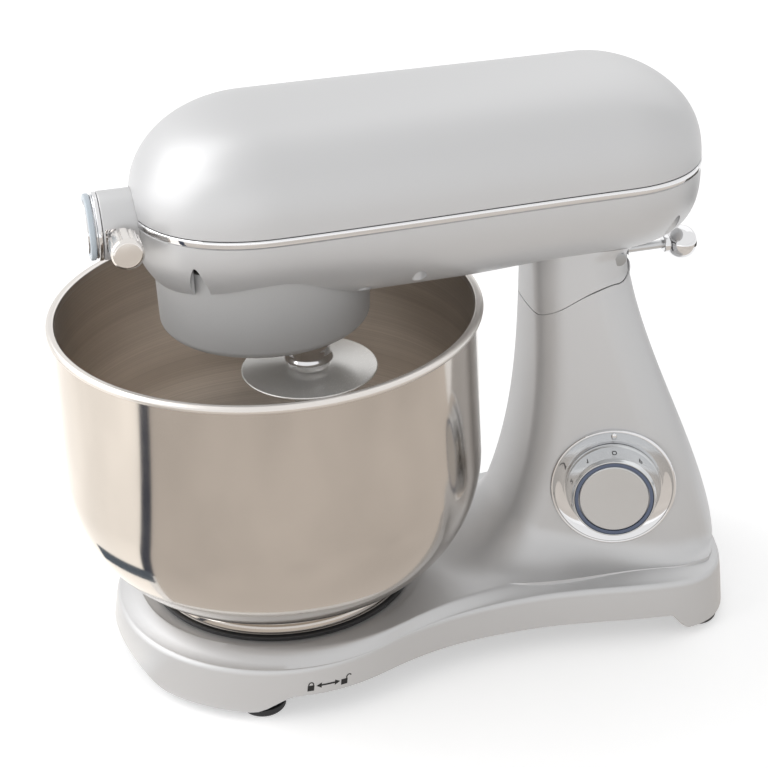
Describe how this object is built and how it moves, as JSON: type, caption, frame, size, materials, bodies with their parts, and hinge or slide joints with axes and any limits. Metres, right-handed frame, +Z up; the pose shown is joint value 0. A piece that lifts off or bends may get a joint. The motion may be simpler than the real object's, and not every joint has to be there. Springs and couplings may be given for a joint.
{
  "type": "stand mixer",
  "caption": "Tilt-head stand mixer with a planetary drive, a polished bowl with twist lock, a dough hook with splash guard, an accessory hub, a release lever and a speed dial.",
  "frame": {"origin": "middle of the bounding box in plan, on the surface that the feet stand on", "axes": "+Z up; the accessory hub and the bowl are toward -Y; the speed dial faces +X"},
  "size_m": [0.2468, 0.3912, 0.3333],
  "materials": {
    "silver_paint": "glossy metallic silver paint",
    "satin_silver": "satin silver-grey",
    "polished_steel": "mirror-polished stainless steel, circular-brushed inside the bowl",
    "chrome": "bright chrome",
    "grey_plastic": "light grey plastic",
    "black_plastic": "satin black plastic",
    "black_rubber": "matt black rubber",
    "gear_steel": "machined steel",
    "cast_alloy": "cast light alloy",
    "copper": "steel laminations wound with enamelled copper wire",
    "board_green": "green circuit board",
    "light_guide": "blue-grey translucent ring"
  },
  "bodies": {
    "base": {"base_casting": "silver_paint", "bottom_plate": "black_plastic", "foot_front_left": "black_rubber", "foot_front_right": "black_rubber", "foot_rear_left": "black_rubber", "foot_rear_right": "black_rubber", "bowl_seat": "black_plastic", "cord_gland": "black_plastic", "hinge_pin": "gear_steel", "catch_pin": "gear_steel", "dial_bezel": "chrome", "speed_switch": "black_plastic", "control_board": "board_green"},
    "bowl": {"bowl": "polished_steel", "bowl_foot": "polished_steel"},
    "dial": {"speed_knob": "chrome", "knob_light_ring": "light_guide", "knob_face": "satin_silver"},
    "head": {"head_cover": "silver_paint", "head_housing": "silver_paint", "trim_band": "chrome", "housing_screw_1": "gear_steel", "housing_screw_2": "gear_steel", "housing_screw_3": "gear_steel", "housing_screw_4": "gear_steel", "housing_screw_5": "gear_steel", "housing_screw_6": "gear_steel", "housing_screw_7": "gear_steel", "housing_screw_8": "gear_steel", "neck_casting": "silver_paint", "lever_pin": "gear_steel", "gear_frame": "cast_alloy", "ring_gear": "gear_steel", "carrier_bearing_lower": "gear_steel", "carrier_bearing_upper": "gear_steel", "drive_belt": "black_rubber", "motor_can": "gear_steel", "motor_stator": "copper", "hub_barrel": "satin_silver"},
    "lever": {"release_lever": "gear_steel", "lever_knob": "chrome"},
    "motor_rotor": {"motor_rotor": "gear_steel", "motor_pulley": "cast_alloy", "motor_fan": "black_plastic"},
    "jackshaft": {"jackshaft": "gear_steel", "large_pulley": "cast_alloy"},
    "planet_carrier": {"planetary_hub": "satin_silver", "carrier_shaft": "gear_steel", "main_gear": "cast_alloy"},
    "beater": {"beater_shaft": "gear_steel", "planet_pinion": "gear_steel", "shaft_sleeve": "chrome", "splash_guard": "polished_steel", "dough_hook": "polished_steel"},
    "hub_cap": {"hub_cap": "chrome", "hub_cap_ring": "grey_plastic"},
    "thumb_screw": {"thumb_screw": "chrome"}
  },
  "joints": [
    {"name": "head_tilt", "type": "hinge", "parent": "base", "child": "head", "pos_m": [0, 0.1278, 0.227], "axis": [-1, 0, 0], "range_deg": [0, 35]},
    {"name": "bowl_twist", "type": "hinge", "parent": "base", "child": "bowl", "pos_m": [0, -0.0722, 0.05], "axis": [0, 0, 1], "range_deg": [0, 35]},
    {"name": "speed_dial", "type": "hinge", "parent": "base", "child": "dial", "pos_m": [0.0505, 0.1201, 0.089], "axis": [0.9469, -0.3077, 0.0928], "range_deg": [-30, 200]},
    {"name": "release_lever", "type": "hinge", "parent": "head", "child": "lever", "pos_m": [0, 0.1088, 0.2235], "axis": [-1, 0, 0], "range_deg": [0, 8], "stiffness_Nm_per_rad": 1, "springref_deg": -11.46},
    {"name": "planetary_spin", "type": "hinge", "parent": "head", "child": "planet_carrier", "pos_m": [0, -0.0722, 0.24], "axis": [0, 0, 1], "continuous": true},
    {"name": "beater_spin", "type": "hinge", "parent": "planet_carrier", "child": "beater", "pos_m": [0.01807, -0.05214, 0.2], "axis": [0, 0, 1], "continuous": true},
    {"name": "jackshaft_spin", "type": "hinge", "parent": "head", "child": "jackshaft", "pos_m": [0, -0.02845, 0.29], "axis": [0, 0, 1], "continuous": true},
    {"name": "motor_spin", "type": "hinge", "parent": "head", "child": "motor_rotor", "pos_m": [0, 0.0658, 0.29], "axis": [0, 0, 1], "continuous": true},
    {"name": "hub_cap_pull", "type": "slide", "parent": "head", "child": "hub_cap", "axis": [0, -1, 0], "range_m": [0, 0.025]},
    {"name": "thumb_screw_turn", "type": "hinge", "parent": "head", "child": "thumb_screw", "pos_m": [0, -0.1502, 0.2746], "axis": [1, 0, 0], "continuous": true}
  ],
  "couplings": [
    {"joint": "beater_spin", "follows": "planetary_spin", "ratio": -3},
    {"joint": "jackshaft_spin", "follows": "planetary_spin", "ratio": -4},
    {"joint": "motor_spin", "follows": "planetary_spin", "ratio": -13.6}
  ]
}
